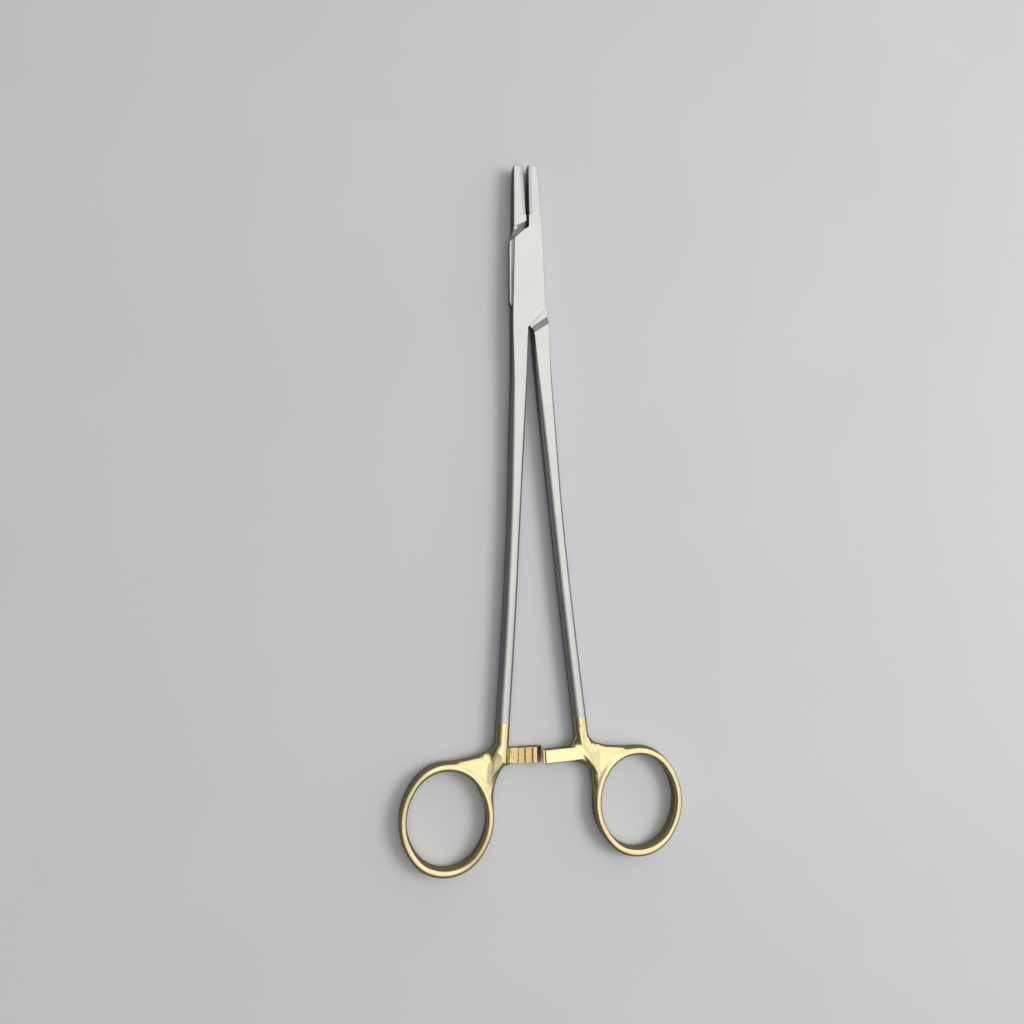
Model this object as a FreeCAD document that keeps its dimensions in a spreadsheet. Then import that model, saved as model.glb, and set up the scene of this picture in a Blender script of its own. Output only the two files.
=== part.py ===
"""Ring-handled surgical needle holder with a box lock, drawn in millimetres.

Frame: X across the instrument, Y along it towards the jaws, Z up.  The origin lies on the
pivot axis, in the flat underside of the box lock.  Both halves are drawn in one common frame,
jaws closed, with the mid-plane of the steel at Z = 0, the shank on the -X side and the jaw on
the +X side.  The box half is used as drawn; the tongue half is its mirror image.
"""
import FreeCAD
import Part
import Sketcher
import math
import os

V = FreeCAD.Vector
doc = FreeCAD.newDocument("NeedleHolder")
sheet = doc.addObject("Spreadsheet::Sheet", "Sizes")


class Size:
    """A length or an angle: its value, and the sheet expression that gives the same value."""

    def __init__(self, value, text):
        self.value = value
        self.text = text

    def __add__(self, other):
        other = plain(other)
        return Size(self.value + other.value, "(%s + %s)" % (self.text, other.text))

    def __sub__(self, other):
        other = plain(other)
        return Size(self.value - other.value, "(%s - %s)" % (self.text, other.text))

    def __mul__(self, other):
        other = plain(other)
        return Size(self.value * other.value, "(%s * %s)" % (self.text, other.text))

    def __truediv__(self, other):
        other = plain(other)
        return Size(self.value / other.value, "(%s / %s)" % (self.text, other.text))

    def __rsub__(self, other):
        return plain(other) - self

    def __neg__(self):
        return Size(-self.value, "(0 - %s)" % self.text)

    __radd__ = __add__
    __rmul__ = __mul__


def plain(number):
    """A bare number as a Size."""
    if isinstance(number, Size):
        return number
    return Size(float(number), "%.6f" % number)


row = 0


def size(name, value):
    """A driving dimension: one cell of the sheet, with its alias."""
    global row
    row += 1
    sheet.set("A%d" % row, name)
    sheet.set("B%d" % row, str(value))
    sheet.setAlias("B%d" % row, name)
    return Size(value, "Sizes." + name)


# Driving dimensions: box lock
box_thickness = size("box_thickness", 6.0)
cheek_thickness = size("cheek_thickness", 1.95)
slot_clearance = size("slot_clearance", 0.05)
end_clearance = size("end_clearance", 0.12)
crotch_upper = size("crotch_upper", 14.4)
crotch_lower = size("crotch_lower", 14.2)
crotch_half = size("crotch_half", 0.15)
shank_mouth = size("shank_mouth", 0.8)
box_head = size("box_head", 10.6)
box_tail = size("box_tail", 9.3)
head_jaw_side = size("head_jaw_side", 4.1)
head_shank_side = size("head_shank_side", 4.4)
tail_jaw_side = size("tail_jaw_side", 4.8)
edge_round = size("edge_round", 0.3)
jaw_ramp_rise = size("jaw_ramp_rise", 1.45)
jaw_ramp_slope = size("jaw_ramp_slope", 0.44)
tongue_end_slope = size("tongue_end_slope", 0.66)
shank_ramp_slope = size("shank_ramp_slope", 0.60)
shank_ramp_inner = size("shank_ramp_inner", 16.6)
pin_diameter = size("pin_diameter", 3.2)
pin_clearance = size("pin_clearance", 0.04)

# Driving dimensions: jaws and their carbide inserts
jaw_reach = size("jaw_reach", 32.6)
jaw_tip_width = size("jaw_tip_width", 2.75)
jaw_tip_thickness = size("jaw_tip_thickness", 3.8)
jaw_taper_start = size("jaw_taper_start", 15.5)
tip_round = size("tip_round", 0.45)
insert_length = size("insert_length", 14.9)
insert_depth = size("insert_depth", 1.0)
insert_bevel = size("insert_bevel", 0.22)
grip_gap = size("grip_gap", 0.02)
heel_gap = size("heel_gap", 0.05)
tooth_pitch = size("tooth_pitch", 1.05)
tooth_depth = size("tooth_depth", 0.16)

# Driving dimensions: shanks, section by section from the box lock to the rings
shank_top = size("shank_top", 17.0)
shank_neck = size("shank_neck", 27.0)
shank_upper = size("shank_upper", 44.0)
shank_middle = size("shank_middle", 70.0)
shank_lower = size("shank_lower", 100.0)
shank_end = size("shank_end", 132.5)
neck_width = size("neck_width", 4.5)
shank_width = size("shank_width", 4.0)
shank_end_width = size("shank_end_width", 4.2)
shank_height = size("shank_height", 4.5)
top_offset = size("top_offset", 2.80)
neck_offset = size("neck_offset", 2.95)
upper_offset = size("upper_offset", 3.65)
middle_offset = size("middle_offset", 4.80)
lower_offset = size("lower_offset", 6.50)
end_offset = size("end_offset", 8.75)

# Driving dimensions: finger ring, gusset and ratchet arm
ring_half_width = size("ring_half_width", 12.6)
ring_half_length = size("ring_half_length", 15.3)
ring_end_share = size("ring_end_share", 0.887)
ring_step = size("ring_step", 1.85)
ring_drop = size("ring_drop", 9.5)
ring_lean = size("ring_lean", 1.65)
ring_band = size("ring_band", 2.3)
ring_height = size("ring_height", 4.6)
section_sides = 16
gusset_height = size("gusset_height", 4.4)
gusset_round = size("gusset_round", 0.7)
gusset_fillet = size("gusset_fillet", 5.0)
valley_step = size("valley_step", 1.9)
valley_drop = size("valley_drop", 8.1)
arm_drop = size("arm_drop", 7.9)
arm_width = size("arm_width", 4.6)
arm_thickness = size("arm_thickness", 2.0)
arm_gap = size("arm_gap", 0.05)
arm_reach_box = size("arm_reach_box", 2.0)
arm_reach_tongue = size("arm_reach_tongue", 2.3)
ratchet_pitch = size("ratchet_pitch", 2.75)
ratchet_depth = size("ratchet_depth", 0.55)
ratchet_teeth = 3

# Driving dimension: how far the jaws stand open, seen at the pivot
jaw_opening = size("jaw_opening", 2.55)

# Derived sizes
half_thickness = box_thickness / 2
slot_half = half_thickness - cheek_thickness
tongue_half_thickness = slot_half - slot_clearance
pin_radius = pin_diameter / 2
insert_start = jaw_reach - insert_length
shank_outside = end_offset + shank_end_width / 2
ring_end_radius = ring_half_width * ring_end_share
ring_across = shank_outside + ring_step + ring_half_width
ring_along = shank_end + ring_drop + ring_half_length
valley_across = shank_outside + valley_step
valley_along = shank_end + valley_drop
arm_along = shank_end + arm_drop
doc.recompute()


def origin_plane(body, role):
    """One of a body's own origin planes."""
    for feature in body.Origin.OriginFeatures:
        if feature.Role == role:
            return feature


def new_sketch(body, name, role, offset=None):
    """A sketch on an origin plane of its body, moved along the plane's normal by offset."""
    sketch = body.newObject("Sketcher::SketchObject", name)
    sketch.AttachmentSupport = [(origin_plane(body, role), "")]
    sketch.MapMode = "FlatFace"
    if offset is not None:
        sketch.AttachmentOffset = FreeCAD.Placement(V(0, 0, offset.value), FreeCAD.Rotation())
        sketch.setExpression("AttachmentOffset.Base.z", offset.text)
    return sketch


def bind(sketch, constraint, length):
    """Adds a constraint and binds it to the sheet."""
    index = sketch.addConstraint(constraint)
    sketch.setExpression("Constraints[%d]" % index, length.text)


def outline(sketch, points, radii=None):
    """A closed outline through points; radii turns the edge after a point into an arc.

    radii maps the index of a point to (centre x, centre y, radius).  Every point is held by its
    two distances from the sketch's origin.
    """
    points = [(plain(x), plain(y)) for x, y in points]
    radii = radii or {}
    count = len(points)
    first = sketch.GeometryCount
    ends = {}
    for index in range(count):
        start = V(points[index][0].value, points[index][1].value, 0)
        after = points[(index + 1) % count]
        stop = V(after[0].value, after[1].value, 0)
        if index in radii:
            centre_x, centre_y, radius = radii[index]
            centre = V(plain(centre_x).value, plain(centre_y).value, 0)
            from_angle = math.atan2(start.y - centre.y, start.x - centre.x)
            to_angle = math.atan2(stop.y - centre.y, stop.x - centre.x)
            turn = (to_angle - from_angle) % (2 * math.pi)
            circle = Part.Circle(centre, V(0, 0, 1), radius.value)
            if turn < math.pi:
                sketch.addGeometry(Part.ArcOfCircle(circle, from_angle, from_angle + turn))
                ends[index] = (1, 2)
            else:
                sketch.addGeometry(Part.ArcOfCircle(circle, to_angle, to_angle + 2 * math.pi - turn))
                ends[index] = (2, 1)
        else:
            sketch.addGeometry(Part.LineSegment(start, stop))
            ends[index] = (1, 2)
    for index in range(count):
        after = (index + 1) % count
        joint = Sketcher.Constraint("Coincident", first + index, ends[index][1], first + after, ends[after][0])
        sketch.addConstraint(joint)
    for index in range(count):
        across, along = points[index]
        where = (-1, 1, first + index, ends[index][0])
        bind(sketch, Sketcher.Constraint("DistanceX", *where, across.value), across)
        bind(sketch, Sketcher.Constraint("DistanceY", *where, along.value), along)
        if index in radii:
            radius = radii[index][2]
            bind(sketch, Sketcher.Constraint("Radius", first + index, radius.value), radius)


def oval_outline(sketch, middle, half_wide, half_long, end_radius):
    """An oval of four tangent arcs: two of end_radius at its long ends, two wider ones beside them."""
    across, along = middle
    rise = half_long - end_radius
    side_radius = (half_wide * half_wide + rise * rise - end_radius * end_radius) / (2 * (half_wide - end_radius))
    share = end_radius / (side_radius - end_radius)
    x = share * (side_radius - half_wide)
    y = rise + share * rise
    inward = side_radius - half_wide
    outline(sketch, [(across + x, along - y), (across + x, along + y), (across - x, along + y), (across - x, along - y)],
            {0: (across - inward, along, side_radius),
             1: (across, along + rise, end_radius),
             2: (across + inward, along, side_radius),
             3: (across, along - rise, end_radius)})


def new_body(name):
    """An empty body; its label is its name."""
    body = doc.addObject("PartDesign::Body", name)
    body.Label = name
    return body


def pad(body, name, sketch, length):
    """Pads a sketch by length, half of it to each side."""
    feature = body.newObject("PartDesign::Pad", name)
    feature.Profile = sketch
    feature.SideType = "Symmetric"
    feature.Length = length.value
    feature.setExpression("Length", length.text)
    sketch.Visibility = False
    doc.recompute()
    return feature


def pocket(body, name, sketch, length=None):
    """Cuts a sketch to both sides: through everything, or by length in all."""
    before = body.Shape.Volume
    feature = body.newObject("PartDesign::Pocket", name)
    feature.Profile = sketch
    feature.SideType = "Symmetric"
    if length is None:
        feature.Type = "ThroughAll"
    else:
        feature.Length = length.value
        feature.setExpression("Length", length.text)
    doc.recompute()
    if not body.Shape.Volume < before:
        raise ValueError(name + " cuts nothing")
    return feature


def edges_where(shape, test, edge_test=None):
    """Names of the edges whose two ends and middle pass the test."""
    names = []
    for index, edge in enumerate(shape.Edges):
        if edge_test is not None and not edge_test(edge):
            continue
        ends = [vertex.Point for vertex in edge.Vertexes]
        middle = edge.valueAt((edge.FirstParameter + edge.LastParameter) / 2)
        if all(test(point) for point in ends + [middle]):
            names.append("Edge%d" % (index + 1))
    return names


def dress(body, kind, name, test, length, edge_test=None):
    """Rounds or bevels the edges of the body's last feature that pass the test."""
    base = body.Tip
    names = edges_where(base.Shape, test, edge_test)
    if not names:
        raise ValueError(name + " finds no edge")
    feature = body.newObject("PartDesign::" + kind, name)
    feature.Base = (base, names)
    prop = "Radius" if kind == "Fillet" else "Size"
    setattr(feature, prop, length.value)
    feature.setExpression(prop, length.text)
    doc.recompute()
    return feature


def blank(name):
    """Jaw and box-lock block of one half: the outline, the jaw's taper and its bevels."""
    body = new_body(name)
    sketch = new_sketch(body, name + "_outline", "XY_Plane")
    inner = shank_centre[0] + neck_width / 2
    outer = shank_centre[0] - neck_width / 2
    outline(sketch, [
        (heel_gap, crotch_upper),
        (heel_gap, jaw_reach),
        (jaw_tip_width, jaw_reach),
        (head_jaw_side, box_head),
        (tail_jaw_side, -box_tail),
        (crotch_half, -crotch_lower),
        (inner, -(crotch_lower + shank_mouth)),
        (inner, -shank_top),
        (outer, -shank_top),
        (outer, -(crotch_lower - 2.0)),
        (-head_shank_side, box_head)])
    pad(body, name + "_block", sketch, box_thickness)
    wedge = new_sketch(body, name + "_taper", "YZ_Plane")
    far = jaw_reach + 3.0
    fall = (box_thickness - jaw_tip_thickness) / 2
    drop = half_thickness - fall * ((far - jaw_taper_start) / (jaw_reach - jaw_taper_start))
    for side in (1, -1):
        outline(wedge, [
            (jaw_taper_start, side * half_thickness),
            (far, side * drop),
            (far, side * (half_thickness + 1.0)),
            (jaw_taper_start, side * (half_thickness + 1.0))])
    pocket(body, name + "_thinned", wedge)
    rest = new_sketch(body, name + "_insert_seat", "XY_Plane")
    outline(rest, [
        (plain(-1.0), insert_start),
        (insert_depth, insert_start),
        (insert_depth, jaw_reach + 1.0),
        (plain(-1.0), jaw_reach + 1.0)])
    pocket(body, name + "_seat", rest)
    jaw_edge = plain(jaw_tip_width.value - 0.2)

    def long_edge(point):
        on_right = point.x > jaw_edge.value
        on_left = point.x < outer.value + 0.2 + max(0.0, point.y + 15.0) * 0.03
        on_face = abs(point.z) > jaw_tip_thickness.value / 2 - 0.01
        return on_face and (on_right or on_left)

    def level(edge):
        low, high = sorted(vertex.Point.y for vertex in edge.Vertexes)
        return high - low > 1.0 and abs(edge.Vertexes[0].Point.z * edge.Vertexes[-1].Point.z) > 1.0

    dress(body, "Fillet", name + "_edges", long_edge, edge_round, level)
    dress(body, "Fillet", name + "_tip_corner", lambda point: abs(point.y - jaw_reach.value) < 0.01
          and abs(point.x - jaw_tip_width.value) < 0.01, tip_round)
    return body


# Centre line of a shank: offset from the middle of the instrument at each section
shank_along = [shank_top, shank_neck, shank_upper, shank_middle, shank_lower, shank_end]
shank_centre = [-top_offset, -neck_offset, -upper_offset, -middle_offset, -lower_offset, -end_offset]
shank_wide = [neck_width, neck_width, neck_width, shank_width, shank_width, shank_end_width]
shank_high = [box_thickness, box_thickness - 0.5, shank_height + 0.5, shank_height, shank_height, ring_height]
shank_corner = [edge_round, edge_round + 0.6, shank_width * 0.4, shank_width * 0.46, shank_width * 0.46,
                shank_width * 0.4]


def shank(name):
    """A shank: rounded rectangles lofted from the box lock to the ring."""
    body = new_body(name)
    sections = []
    for index in range(len(shank_along)):
        section = new_sketch(body, "%s_section_%d" % (name, index), "XZ_Plane", shank_along[index])
        left = shank_centre[index] - shank_wide[index] / 2
        right = shank_centre[index] + shank_wide[index] / 2
        high = shank_high[index] / 2
        corner = shank_corner[index]
        inside = (left + corner, right - corner, high - corner)
        outline(section, [
            (inside[0], -high),
            (inside[1], -high),
            (right, -inside[2]),
            (right, inside[2]),
            (inside[1], high),
            (inside[0], high),
            (left, inside[2]),
            (left, -inside[2])],
            {1: (inside[1], -inside[2], corner),
             3: (inside[1], inside[2], corner),
             5: (inside[0], inside[2], corner),
             7: (inside[0], -inside[2], corner)})
        sections.append(section)
    doc.recompute()
    loft = body.newObject("PartDesign::AdditiveLoft", name + "_loft")
    loft.Profile = sections[0]
    loft.Sections = sections[1:]
    loft.Ruled = True
    doc.recompute()
    return body


def ring(name):
    """A finger ring: a many-sided oval section turned along the four tangent arcs of a larger oval."""
    rise = ring_half_length - ring_end_radius
    squares = ring_half_width * ring_half_width + rise * rise - ring_end_radius * ring_end_radius
    side_radius = squares / (2 * (ring_half_width - ring_end_radius))
    inward = side_radius - ring_half_width
    tangent = Size(math.degrees(math.atan2(rise.value, inward.value)),
                   "(atan2(%s; %s) / 1 deg)" % (rise.text, inward.text))
    corners = [(index + 0.5) * 2 * math.pi / section_sides for index in range(section_sides)]
    arcs = []
    for index in range(4):
        at_side = index % 2 == 0
        sign = 1 if index < 2 else -1
        radius = side_radius if at_side else ring_end_radius
        section = doc.addObject("Sketcher::SketchObject", "%s_section_%d" % (name, index))
        if at_side:
            start = plain(90 - 90 * sign) - tangent
            span = 2 * tangent
            centre = (-sign * inward, plain(0))
        else:
            start = plain(90 - 90 * sign) + tangent
            span = 180 - 2 * tangent
            centre = (plain(0), sign * rise)
        section.Placement = FreeCAD.Placement(V(0, 0, 0), FreeCAD.Rotation(V(1, 0, 0), 90))
        outline(section, [(radius + ring_band / 2 * math.cos(corner), ring_height / 2 * math.sin(corner))
                          for corner in corners])
        arc = doc.addObject("Part::Revolution", "%s_arc_%d" % (name, index))
        arc.Source = section
        arc.Axis = V(0, 0, 1)
        arc.Base = V(0, 0, 0)
        arc.Angle = span.value
        arc.setExpression("Angle", span.text)
        arc.Solid = True
        place(arc, centre[0], centre[1], plain(0), start)
        arcs.append(arc)
    whole = join(name, arcs)
    place(whole, -ring_across, -ring_along, plain(0), -ring_lean)
    return whole


def place(piece, across, along, up, turn):
    """Moves a piece and turns it about Z, bound to the sheet."""
    piece.Placement = FreeCAD.Placement(V(across.value, along.value, up.value),
                                        FreeCAD.Rotation(V(0, 0, 1), turn.value))
    piece.setExpression("Placement.Base.x", across.text)
    piece.setExpression("Placement.Base.y", along.text)
    piece.setExpression("Placement.Base.z", up.text)
    piece.setExpression("Placement.Rotation.Angle", turn.text)


def gusset(name):
    """The triangular web between shank, ratchet arm and ring."""
    body = new_body(name)
    sketch = new_sketch(body, name + "_outline", "XY_Plane")
    stub = shank_end - 1.5
    right = shank_end_width / 2 - end_offset
    left = -shank_outside
    outer = ring_half_width + ring_band / 2
    crown = ring_half_length + ring_band / 2
    outline(sketch, [
        (right - 0.3, -stub),
        (right, -(arm_along - arm_width / 2)),
        (right + 1.0, -(arm_along - arm_width / 2)),
        (right + 1.0, -(arm_along + arm_width / 2)),
        (outer - ring_across + 0.35, -(arm_along + arm_width / 2)),
        (outer - ring_across - 0.02, -(ring_along - 2.0)),
        (-ring_across, -(ring_along - 2.0)),
        (-ring_across, crown - ring_along),
        (-valley_across - 2.2, -(valley_along - 0.75)),
        (-valley_across, -valley_along),
        (left, -(valley_along - 3.1)),
        (left + 0.2, -stub)])
    pad(body, name + "_web", sketch, gusset_height)
    hole = new_sketch(body, name + "_ring_line", "XY_Plane")
    across = -ring_across
    along = -ring_along
    oval_outline(hole, (across, along), ring_half_width, ring_half_length, ring_end_radius)
    pocket(body, name + "_opening", hole)
    root = (outer.value - ring_across.value + 0.35, -(arm_along.value + arm_width.value / 2))
    dress(body, "Fillet", name + "_arm_to_ring", lambda point: abs(point.x - root[0]) < 0.01
          and abs(point.y - root[1]) < 0.01, gusset_fillet)
    rim = gusset_height.value / 2

    def on_rim(point):
        return abs(abs(point.z) - rim) < 0.01

    def outside(edge):
        on_oval = edge.Curve.TypeId == "Part::GeomCircle" and edge.Curve.Radius > ring_end_radius.value - 0.1
        ends = [vertex.Point for vertex in edge.Vertexes]
        on_arm = all(point.x > right.value + 0.9 for point in ends)
        on_stub = all(point.y > -stub.value - 0.01 for point in ends)
        at_crown = all(abs(point.x - across.value) < 0.01 for point in ends)
        at_side = all(abs(point.y - along.value - 2.0) < 0.01 for point in ends)
        return not (on_oval or on_arm or on_stub or at_crown or at_side)

    dress(body, "Fillet", name + "_round", on_rim, gusset_round, outside)
    return body


def arm(name, reach, side):
    """A ratchet arm: half the height of the ring, its saw teeth on the face towards side.

    Each tooth slopes up from the tip and drops off towards the shank, so that the teeth of the
    two arms ride over each other as the rings close and hold as they open.
    """
    body = new_body(name)
    profile = new_sketch(body, name + "_profile", "XZ_Plane", arm_along)
    root = shank_end_width / 2 - end_offset - 1.5
    crest = -side * arm_gap
    valley = -side * (arm_gap + ratchet_depth)
    back = -side * (arm_gap + arm_thickness)
    points = [(root, back), (reach - 0.35, back), (reach, back + side * 0.35)]
    first = reach + 0.6 - ratchet_pitch
    for tooth in range(ratchet_teeth):
        step = first - tooth * ratchet_pitch
        points.append((reach if tooth == 0 else step + ratchet_pitch, valley))
        points.append((step + 0.5, crest))
        points.append((step, crest))
    points.append((step, valley))
    points.append((root, valley))
    outline(profile, points)
    pad(body, name + "_bar", profile, arm_width)
    low = abs(back.value)

    def back_edge(point):
        return abs(abs(point.z) - low) < 0.01

    def long_way(edge):
        ends = [vertex.Point for vertex in edge.Vertexes]
        return abs(ends[0].x - ends[-1].x) > 3.0

    dress(body, "Fillet", name + "_back_edges", back_edge, arm_thickness * 0.3, long_way)
    return body


def join(name, pieces):
    """Fuses overlapping pieces of one forging."""
    fused = doc.addObject("Part::MultiFuse", name)
    fused.Shapes = pieces
    fused.Refine = True
    doc.recompute()
    return fused


def slot_cutter(name):
    """The slot through the box half, between its two cheeks."""
    body = new_body(name)
    far = box_thickness + 2.0
    head_slope = (crotch_upper - box_head) / head_shank_side
    tail_slope = (crotch_lower - box_tail) / (tail_jaw_side - crotch_half)
    tail = crotch_lower + 1.5 * end_clearance
    mouth = crotch_lower + shank_mouth + 2 * end_clearance
    sketch = new_sketch(body, name + "_outline", "XY_Plane")
    outline(sketch, [
        (-far, crotch_upper + end_clearance),
        (plain(0), crotch_upper + end_clearance),
        (far, crotch_upper + end_clearance - head_slope * far),
        (far, -mouth),
        (-shank_centre[0] - neck_width / 2, -mouth),
        (-crotch_half, -tail),
        (-far, -(tail - tail_slope * (far - crotch_half)))])
    pad(body, name + "_cut", sketch, 2 * slot_half)
    return body


def cheek_recess(name, side):
    """The recess in one face of the tongue half, with the sloped shoulders at its two ends."""
    body = new_body(name)
    far = box_thickness + 2.0
    head_slope = (crotch_upper - box_head) / head_shank_side
    inner = shank_centre[0] + neck_width / 2
    below = shank_ramp_inner + 2.0
    head = crotch_upper + end_clearance
    tail = crotch_lower + 1.5 * end_clearance
    floor = new_sketch(body, name + "_floor", "XY_Plane", side * tongue_half_thickness)
    outline(floor, [
        (-far, head),
        (plain(0), head),
        (far, head - head_slope * far),
        (far, -below),
        (inner, -below),
        (inner, -tail),
        (-far, -(tail - tongue_end_slope * (far + inner)))])
    head = head + jaw_ramp_rise
    face = new_sketch(body, name + "_face", "XY_Plane", side * half_thickness)
    outline(face, [
        (-far, head),
        (plain(0), head),
        (far, head - jaw_ramp_slope * far),
        (far, -below),
        (inner, -below),
        (inner, -shank_ramp_inner),
        (-far, -(shank_ramp_inner - shank_ramp_slope * (far + inner)))])
    doc.recompute()
    loft = body.newObject("PartDesign::AdditiveLoft", name + "_loft")
    loft.Profile = floor
    loft.Sections = [face]
    loft.Ruled = True
    doc.recompute()
    return body


def round_bar(name, radius, length):
    """A round bar along the pivot axis, centred on the mid-plane."""
    bar = doc.addObject("Part::Cylinder", name)
    bar.Radius = radius.value
    bar.setExpression("Radius", radius.text)
    bar.Height = length.value
    bar.setExpression("Height", length.text)
    bar.Placement = FreeCAD.Placement(V(0, 0, -length.value / 2), FreeCAD.Rotation())
    bar.setExpression("Placement.Base.z", (-length / 2).text)
    return bar


def cut(name, base, tools):
    """Cuts the tools from the base, one after another."""
    for index, tool in enumerate(tools):
        result = doc.addObject("Part::Cut", "%s_cut_%d" % (name, index))
        result.Base = base
        result.Tool = tool
        doc.recompute()
        base = result
    return base


def forging(name, arm_reach, side):
    """One half as forged: jaw, box block, shank, gusset, ring and ratchet arm in one piece."""
    return join(name, [
        blank(name + "_blank"),
        shank(name + "_shank"),
        gusset(name + "_gusset"),
        ring(name + "_ring"),
        arm(name + "_arm", arm_reach, side)])


def serrations(name):
    """Crossed V-grooves of the gripping face, as one cutter in the plane x = grip_gap."""
    face = grip_gap.value
    depth = tooth_depth.value
    half = tooth_pitch.value * 0.3
    low = insert_start.value
    span = insert_length.value
    height = box_thickness.value
    grooves = []
    count = int((span + height) / (tooth_pitch.value * math.sqrt(2))) + 1
    for turn in (45, -45):
        for index in range(-1, count + 1):
            along = low - height / 2 + (index + 0.5) * tooth_pitch.value * math.sqrt(2)
            section = Part.makePolygon([
                V(face - depth * 0.5, -half * 1.5, 0),
                V(face + depth, 0, 0),
                V(face - depth * 0.5, half * 1.5, 0),
                V(face - depth * 0.5, -half * 1.5, 0)])
            groove = Part.Face(section).extrude(V(0, 0, 3 * height))
            groove.translate(V(0, 0, -1.5 * height))
            groove.rotate(V(0, 0, 0), V(1, 0, 0), turn)
            groove.translate(V(0, along, 0))
            grooves.append(groove)
    cutter = doc.addObject("Part::Feature", name)
    cutter.Shape = Part.makeCompound(grooves)
    return cutter


def insert(name):
    """A carbide insert: a plate in the jaw's seat, bevelled and cross-grooved on its grip face."""
    body = new_body(name)
    sketch = new_sketch(body, name + "_outline", "XY_Plane")
    outline(sketch, [
        (grip_gap, insert_start),
        (insert_depth, insert_start),
        (insert_depth, jaw_reach),
        (grip_gap, jaw_reach)])
    pad(body, name + "_plate", sketch, box_thickness)
    wedge = new_sketch(body, name + "_taper", "YZ_Plane")
    far = jaw_reach + 3.0
    slope = (box_thickness - jaw_tip_thickness) / 2 / (jaw_reach - jaw_taper_start)
    near = jaw_taper_start
    for side in (1, -1):
        outline(wedge, [
            (near, side * half_thickness),
            (far, side * (half_thickness - slope * (far - near))),
            (far, side * (half_thickness + 1.0)),
            (near, side * (half_thickness + 1.0))])
    pocket(body, name + "_thinned", wedge)

    def grip_edge(point):
        return abs(point.x - grip_gap.value) < 0.01

    def lengthwise(edge):
        ends = [vertex.Point for vertex in edge.Vertexes]
        return abs(ends[0].y - ends[-1].y) > 3.0

    dress(body, "Chamfer", name + "_bevel", grip_edge, insert_bevel, lengthwise)
    return body


def mirrored(name, source):
    """The mirror image of a piece in the plane between the two halves."""
    image = doc.addObject("Part::Mirroring", name)
    image.Source = source
    image.Normal = V(1, 0, 0)
    image.Base = V(0, 0, 0)
    doc.recompute()
    return image


# Box half: jaw and cheeks slotted for the tongue, with the pin's hole through both cheeks
box_forging = forging("box_forging", arm_reach_box, 1)
pin_hole = round_bar("pin_hole", pin_radius, box_thickness + 2.0)
box_half = cut("box_half", box_forging, [slot_cutter("slot"), pin_hole])
box_half.Label = "box_half"

# Tongue half: a recess in each face leaves the tongue, which turns on the pin
tongue_forging = forging("tongue_forging", arm_reach_tongue, -1)
pin_bore = round_bar("pin_bore", pin_radius + pin_clearance, box_thickness + 2.0)
tongue_cut = cut("tongue", tongue_forging, [cheek_recess("upper_recess", 1), cheek_recess("lower_recess", -1),
                                            pin_bore])
tongue_half = mirrored("tongue_half", tongue_cut)
tongue_half.Label = "tongue_half"

# Pin, ground flush with both cheeks
pivot_pin = round_bar("pivot_pin", pin_radius, box_thickness)
pivot_pin.Label = "pivot_pin"

# Carbide inserts, one on each jaw
box_insert = cut("box_insert", insert("box_insert_plate"), [serrations("box_insert_grooves")])
box_insert.Label = "box_insert"
tongue_plate = cut("tongue_plate", insert("tongue_insert_plate"), [serrations("tongue_insert_grooves")])
tongue_insert = mirrored("tongue_insert", tongue_plate)
tongue_insert.Label = "tongue_insert"

doc.recompute()
zero = plain(0)
lean = jaw_opening / 2
place(box_half, zero, zero, half_thickness, -lean)
place(box_insert, zero, zero, half_thickness, -lean)
place(pivot_pin, zero, zero, zero, -lean)
place(tongue_half, zero, zero, half_thickness, lean)
place(tongue_insert, zero, zero, half_thickness, lean)
doc.recompute()

# Write every piece, after a look at its state
sub_parts = [box_half, tongue_half, pivot_pin, box_insert, tongue_insert]
os.makedirs("parts", exist_ok=True)
for feature in doc.Objects:
    if "Invalid" in feature.State or "Error" in feature.State:
        raise ValueError(feature.Name + " failed")
for piece in sub_parts:
    if piece.Shape.isNull() or not piece.Shape.isValid():
        raise ValueError(piece.Label + " is not a valid shape")
    print(piece.Label, round(piece.Shape.Volume, 2), len(piece.Shape.Solids), len(piece.Shape.Faces))
    piece.Shape.exportStep("parts/%s.step" % piece.Label)
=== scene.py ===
# %% [markdown]
# # A ring-handled needle holder
# The instrument is two steel forgings that cross in a box lock, turn on one pin and grip a
# needle between two carbide inserts.  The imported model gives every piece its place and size.
# This script gives the pieces the soft, polished forms and the finishes of the real thing.

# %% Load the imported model
import math

import bmesh
import bpy
import numpy as np
from mathutils import Matrix, Vector


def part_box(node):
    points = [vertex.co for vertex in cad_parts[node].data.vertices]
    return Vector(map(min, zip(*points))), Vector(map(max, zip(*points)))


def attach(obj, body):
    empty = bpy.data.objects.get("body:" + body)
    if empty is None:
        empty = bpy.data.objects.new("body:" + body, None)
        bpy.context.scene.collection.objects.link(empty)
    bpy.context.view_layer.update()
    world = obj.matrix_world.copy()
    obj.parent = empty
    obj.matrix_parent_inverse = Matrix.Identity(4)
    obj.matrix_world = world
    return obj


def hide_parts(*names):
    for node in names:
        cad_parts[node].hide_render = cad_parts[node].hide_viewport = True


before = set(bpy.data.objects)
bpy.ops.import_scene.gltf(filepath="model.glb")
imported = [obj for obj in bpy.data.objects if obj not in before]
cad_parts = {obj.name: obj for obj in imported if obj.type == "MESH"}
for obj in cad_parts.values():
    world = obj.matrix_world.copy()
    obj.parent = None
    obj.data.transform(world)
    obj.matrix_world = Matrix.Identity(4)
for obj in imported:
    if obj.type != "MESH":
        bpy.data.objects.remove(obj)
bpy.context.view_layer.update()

MM = 0.001

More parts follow.
